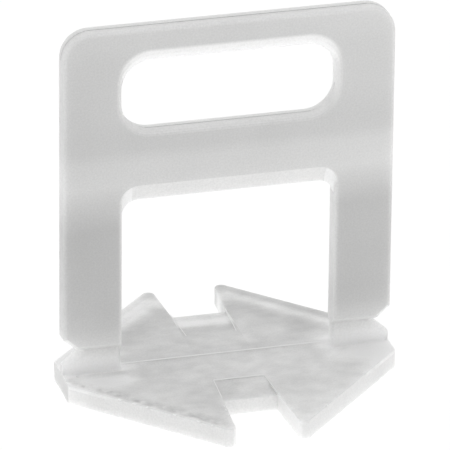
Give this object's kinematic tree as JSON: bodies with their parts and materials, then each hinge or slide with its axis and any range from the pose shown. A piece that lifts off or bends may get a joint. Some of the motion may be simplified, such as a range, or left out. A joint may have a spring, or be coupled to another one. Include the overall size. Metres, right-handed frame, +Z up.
{
  "type": "tile levelling clip",
  "caption": "One-piece moulded tile levelling clip: an upright frame with finger hole and wedge window on snap-off feet over a flat pronged base.",
  "frame": {"origin": "middle of the base's underside, in the plane of the frame", "axes": "+Z up out of the base, along the frame's height; +X along the frame's width; +Y through the frame's thickness, towards the back"},
  "size_m": [0.04, 0.0386, 0.0459],
  "materials": {
    "natural_polypropylene": "satin, natural milky, slightly translucent"
  },
  "bodies": {
    "root": {"levelling_clip": "natural_polypropylene"}
  },
  "joints": []
}
